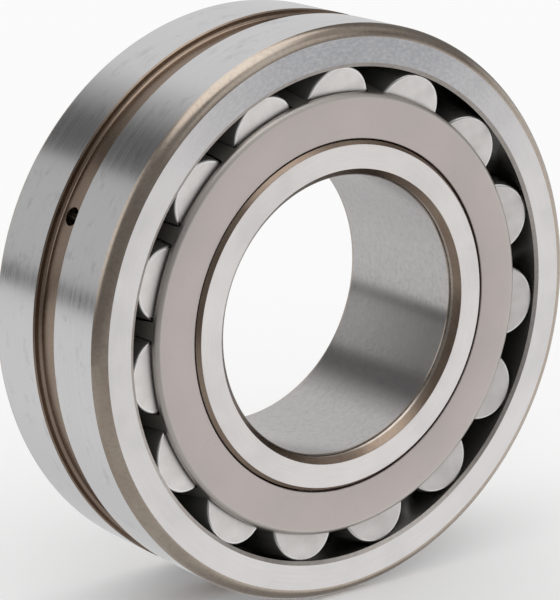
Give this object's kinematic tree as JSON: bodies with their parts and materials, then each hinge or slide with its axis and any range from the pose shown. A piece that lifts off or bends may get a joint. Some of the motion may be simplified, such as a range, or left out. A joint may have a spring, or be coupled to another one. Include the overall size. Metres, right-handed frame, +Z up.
{
  "type": "spherical roller bearing",
  "caption": "Self-aligning bearing with two rows of barrel rollers in a spherical outer raceway, sheet cages, an oil groove and a tapered bore.",
  "frame": {"origin": "centre of the spherical raceway, which is also the middle of the bearing", "axes": "+Y along the bearing axis from the front side to the rear side, where the bore is larger; +Z up, with the bearing standing on its outside; +X to the right when looking along +Y"},
  "size_m": [0.062, 0.02, 0.062],
  "materials": {
    "ring_steel": "ground faces and outside, bronze-brown scale left on the corners, bevels and oil groove",
    "roller_steel": "ground barrel, matt flat ends with bright rounded rims",
    "cage_steel": "matt pressed sheet with a warm grey surface treatment"
  },
  "bodies": {
    "outer_ring": {"outer_ring": "ring_steel"},
    "inner_ring": {"inner_ring": "ring_steel"},
    "guide_ring": {"guide_ring": "ring_steel"},
    "front_cage": {"front_cage": "cage_steel"},
    "rear_cage": {"rear_cage": "cage_steel"},
    "front_roller_01": {"front_roller_01": "roller_steel"},
    "front_roller_02": {"front_roller_02": "roller_steel"},
    "front_roller_03": {"front_roller_03": "roller_steel"},
    "front_roller_04": {"front_roller_04": "roller_steel"},
    "front_roller_05": {"front_roller_05": "roller_steel"},
    "front_roller_06": {"front_roller_06": "roller_steel"},
    "front_roller_07": {"front_roller_07": "roller_steel"},
    "front_roller_08": {"front_roller_08": "roller_steel"},
    "front_roller_09": {"front_roller_09": "roller_steel"},
    "front_roller_10": {"front_roller_10": "roller_steel"},
    "front_roller_11": {"front_roller_11": "roller_steel"},
    "front_roller_12": {"front_roller_12": "roller_steel"},
    "front_roller_13": {"front_roller_13": "roller_steel"},
    "front_roller_14": {"front_roller_14": "roller_steel"},
    "front_roller_15": {"front_roller_15": "roller_steel"},
    "rear_roller_01": {"rear_roller_01": "roller_steel"},
    "rear_roller_02": {"rear_roller_02": "roller_steel"},
    "rear_roller_03": {"rear_roller_03": "roller_steel"},
    "rear_roller_04": {"rear_roller_04": "roller_steel"},
    "rear_roller_05": {"rear_roller_05": "roller_steel"},
    "rear_roller_06": {"rear_roller_06": "roller_steel"},
    "rear_roller_07": {"rear_roller_07": "roller_steel"},
    "rear_roller_08": {"rear_roller_08": "roller_steel"},
    "rear_roller_09": {"rear_roller_09": "roller_steel"},
    "rear_roller_10": {"rear_roller_10": "roller_steel"},
    "rear_roller_11": {"rear_roller_11": "roller_steel"},
    "rear_roller_12": {"rear_roller_12": "roller_steel"},
    "rear_roller_13": {"rear_roller_13": "roller_steel"},
    "rear_roller_14": {"rear_roller_14": "roller_steel"},
    "rear_roller_15": {"rear_roller_15": "roller_steel"}
  },
  "joints": [
    {"name": "swivel", "type": "hinge", "parent": "outer_ring", "child": "guide_ring", "pos_m": [0, 0, 0], "axis": [1, 0, 0], "range_deg": [-2, 2]},
    {"name": "inner_spin", "type": "hinge", "parent": "guide_ring", "child": "inner_ring", "pos_m": [0, 0, 0], "axis": [0, 1, 0], "continuous": true},
    {"name": "front_cage_spin", "type": "hinge", "parent": "guide_ring", "child": "front_cage", "pos_m": [0, 0, 0], "axis": [0, 1, 0], "continuous": true},
    {"name": "rear_cage_spin", "type": "hinge", "parent": "guide_ring", "child": "rear_cage", "pos_m": [0, 0, 0], "axis": [0, 1, 0], "continuous": true},
    {"name": "front_roller_01_spin", "type": "hinge", "parent": "front_cage", "child": "front_roller_01", "pos_m": [0.02237, -0.00493, 0.00749], "axis": [0.1939, 0.9789, 0.0649], "continuous": true},
    {"name": "front_roller_02_spin", "type": "hinge", "parent": "front_cage", "child": "front_roller_02", "pos_m": [0.01739, -0.00493, 0.01594], "axis": [0.1508, 0.9789, 0.1382], "continuous": true},
    {"name": "front_roller_03_spin", "type": "hinge", "parent": "front_cage", "child": "front_roller_03", "pos_m": [0.00941, -0.00493, 0.02163], "axis": [0.0815, 0.9789, 0.1875], "continuous": true},
    {"name": "front_roller_04_spin", "type": "hinge", "parent": "front_cage", "child": "front_roller_04", "pos_m": [-0.00021, -0.00493, 0.02359], "axis": [-0.0018, 0.9789, 0.2045], "continuous": true},
    {"name": "front_roller_05_spin", "type": "hinge", "parent": "front_cage", "child": "front_roller_05", "pos_m": [-0.00978, -0.00493, 0.02147], "axis": [-0.0848, 0.9789, 0.1861], "continuous": true},
    {"name": "front_roller_06_spin", "type": "hinge", "parent": "front_cage", "child": "front_roller_06", "pos_m": [-0.01767, -0.00493, 0.01563], "axis": [-0.1532, 0.9789, 0.1355], "continuous": true},
    {"name": "front_roller_07_spin", "type": "hinge", "parent": "front_cage", "child": "front_roller_07", "pos_m": [-0.0225, -0.00493, 0.00709], "axis": [-0.195, 0.9789, 0.0615], "continuous": true},
    {"name": "front_roller_08_spin", "type": "hinge", "parent": "front_cage", "child": "front_roller_08", "pos_m": [-0.02344, -0.00493, -0.00267], "axis": [-0.2032, 0.9789, -0.0231], "continuous": true},
    {"name": "front_roller_09_spin", "type": "hinge", "parent": "front_cage", "child": "front_roller_09", "pos_m": [-0.02033, -0.00493, -0.01197], "axis": [-0.1762, 0.9789, -0.1038], "continuous": true},
    {"name": "front_roller_10_spin", "type": "hinge", "parent": "front_cage", "child": "front_roller_10", "pos_m": [-0.0137, -0.00493, -0.01921], "axis": [-0.1188, 0.9789, -0.1665], "continuous": true},
    {"name": "front_roller_11_spin", "type": "hinge", "parent": "front_cage", "child": "front_roller_11", "pos_m": [-0.0047, -0.00493, -0.02312], "axis": [-0.0408, 0.9789, -0.2004], "continuous": true},
    {"name": "front_roller_12_spin", "type": "hinge", "parent": "front_cage", "child": "front_roller_12", "pos_m": [0.00511, -0.00493, -0.02303], "axis": [0.0443, 0.9789, -0.1996], "continuous": true},
    {"name": "front_roller_13_spin", "type": "hinge", "parent": "front_cage", "child": "front_roller_13", "pos_m": [0.01403, -0.00493, -0.01896], "axis": [0.1216, 0.9789, -0.1644], "continuous": true},
    {"name": "front_roller_14_spin", "type": "hinge", "parent": "front_cage", "child": "front_roller_14", "pos_m": [0.02053, -0.00493, -0.01162], "axis": [0.178, 0.9789, -0.1007], "continuous": true},
    {"name": "front_roller_15_spin", "type": "hinge", "parent": "front_cage", "child": "front_roller_15", "pos_m": [0.02348, -0.00493, -0.00226], "axis": [0.2036, 0.9789, -0.0196], "continuous": true},
    {"name": "rear_roller_01_spin", "type": "hinge", "parent": "rear_cage", "child": "rear_roller_01", "pos_m": [0.02033, 0.00493, 0.01197], "axis": [-0.1762, 0.9789, -0.1038], "continuous": true},
    {"name": "rear_roller_02_spin", "type": "hinge", "parent": "rear_cage", "child": "rear_roller_02", "pos_m": [0.0137, 0.00493, 0.01921], "axis": [-0.1188, 0.9789, -0.1665], "continuous": true},
    {"name": "rear_roller_03_spin", "type": "hinge", "parent": "rear_cage", "child": "rear_roller_03", "pos_m": [0.0047, 0.00493, 0.02312], "axis": [-0.0408, 0.9789, -0.2004], "continuous": true},
    {"name": "rear_roller_04_spin", "type": "hinge", "parent": "rear_cage", "child": "rear_roller_04", "pos_m": [-0.00511, 0.00493, 0.02303], "axis": [0.0443, 0.9789, -0.1996], "continuous": true},
    {"name": "rear_roller_05_spin", "type": "hinge", "parent": "rear_cage", "child": "rear_roller_05", "pos_m": [-0.01403, 0.00493, 0.01896], "axis": [0.1216, 0.9789, -0.1644], "continuous": true},
    {"name": "rear_roller_06_spin", "type": "hinge", "parent": "rear_cage", "child": "rear_roller_06", "pos_m": [-0.02053, 0.00493, 0.01162], "axis": [0.178, 0.9789, -0.1007], "continuous": true},
    {"name": "rear_roller_07_spin", "type": "hinge", "parent": "rear_cage", "child": "rear_roller_07", "pos_m": [-0.02348, 0.00493, 0.00226], "axis": [0.2036, 0.9789, -0.0196], "continuous": true},
    {"name": "rear_roller_08_spin", "type": "hinge", "parent": "rear_cage", "child": "rear_roller_08", "pos_m": [-0.02237, 0.00493, -0.00749], "axis": [0.1939, 0.9789, 0.0649], "continuous": true},
    {"name": "rear_roller_09_spin", "type": "hinge", "parent": "rear_cage", "child": "rear_roller_09", "pos_m": [-0.01739, 0.00493, -0.01594], "axis": [0.1508, 0.9789, 0.1382], "continuous": true},
    {"name": "rear_roller_10_spin", "type": "hinge", "parent": "rear_cage", "child": "rear_roller_10", "pos_m": [-0.00941, 0.00493, -0.02163], "axis": [0.0815, 0.9789, 0.1875], "continuous": true},
    {"name": "rear_roller_11_spin", "type": "hinge", "parent": "rear_cage", "child": "rear_roller_11", "pos_m": [0.00021, 0.00493, -0.02359], "axis": [-0.0018, 0.9789, 0.2045], "continuous": true},
    {"name": "rear_roller_12_spin", "type": "hinge", "parent": "rear_cage", "child": "rear_roller_12", "pos_m": [0.00978, 0.00493, -0.02147], "axis": [-0.0848, 0.9789, 0.1861], "continuous": true},
    {"name": "rear_roller_13_spin", "type": "hinge", "parent": "rear_cage", "child": "rear_roller_13", "pos_m": [0.01767, 0.00493, -0.01563], "axis": [-0.1532, 0.9789, 0.1355], "continuous": true},
    {"name": "rear_roller_14_spin", "type": "hinge", "parent": "rear_cage", "child": "rear_roller_14", "pos_m": [0.0225, 0.00493, -0.00709], "axis": [-0.195, 0.9789, 0.0615], "continuous": true},
    {"name": "rear_roller_15_spin", "type": "hinge", "parent": "rear_cage", "child": "rear_roller_15", "pos_m": [0.02344, 0.00493, 0.00267], "axis": [-0.2032, 0.9789, -0.0231], "continuous": true}
  ],
  "couplings": [
    {"joint": "front_cage_spin", "follows": "inner_spin", "ratio": 0.41286},
    {"joint": "rear_cage_spin", "follows": "inner_spin", "ratio": 0.41286},
    {"joint": "front_roller_01_spin", "follows": "inner_spin", "ratio": -2.7231},
    {"joint": "front_roller_02_spin", "follows": "inner_spin", "ratio": -2.7231},
    {"joint": "front_roller_03_spin", "follows": "inner_spin", "ratio": -2.7231},
    {"joint": "front_roller_04_spin", "follows": "inner_spin", "ratio": -2.7231},
    {"joint": "front_roller_05_spin", "follows": "inner_spin", "ratio": -2.7231},
    {"joint": "front_roller_06_spin", "follows": "inner_spin", "ratio": -2.7231},
    {"joint": "front_roller_07_spin", "follows": "inner_spin", "ratio": -2.7231},
    {"joint": "front_roller_08_spin", "follows": "inner_spin", "ratio": -2.7231},
    {"joint": "front_roller_09_spin", "follows": "inner_spin", "ratio": -2.7231},
    {"joint": "front_roller_10_spin", "follows": "inner_spin", "ratio": -2.7231},
    {"joint": "front_roller_11_spin", "follows": "inner_spin", "ratio": -2.7231},
    {"joint": "front_roller_12_spin", "follows": "inner_spin", "ratio": -2.7231},
    {"joint": "front_roller_13_spin", "follows": "inner_spin", "ratio": -2.7231},
    {"joint": "front_roller_14_spin", "follows": "inner_spin", "ratio": -2.7231},
    {"joint": "front_roller_15_spin", "follows": "inner_spin", "ratio": -2.7231},
    {"joint": "rear_roller_01_spin", "follows": "inner_spin", "ratio": -2.7231},
    {"joint": "rear_roller_02_spin", "follows": "inner_spin", "ratio": -2.7231},
    {"joint": "rear_roller_03_spin", "follows": "inner_spin", "ratio": -2.7231},
    {"joint": "rear_roller_04_spin", "follows": "inner_spin", "ratio": -2.7231},
    {"joint": "rear_roller_05_spin", "follows": "inner_spin", "ratio": -2.7231},
    {"joint": "rear_roller_06_spin", "follows": "inner_spin", "ratio": -2.7231},
    {"joint": "rear_roller_07_spin", "follows": "inner_spin", "ratio": -2.7231},
    {"joint": "rear_roller_08_spin", "follows": "inner_spin", "ratio": -2.7231},
    {"joint": "rear_roller_09_spin", "follows": "inner_spin", "ratio": -2.7231},
    {"joint": "rear_roller_10_spin", "follows": "inner_spin", "ratio": -2.7231},
    {"joint": "rear_roller_11_spin", "follows": "inner_spin", "ratio": -2.7231},
    {"joint": "rear_roller_12_spin", "follows": "inner_spin", "ratio": -2.7231},
    {"joint": "rear_roller_13_spin", "follows": "inner_spin", "ratio": -2.7231},
    {"joint": "rear_roller_14_spin", "follows": "inner_spin", "ratio": -2.7231},
    {"joint": "rear_roller_15_spin", "follows": "inner_spin", "ratio": -2.7231}
  ]
}
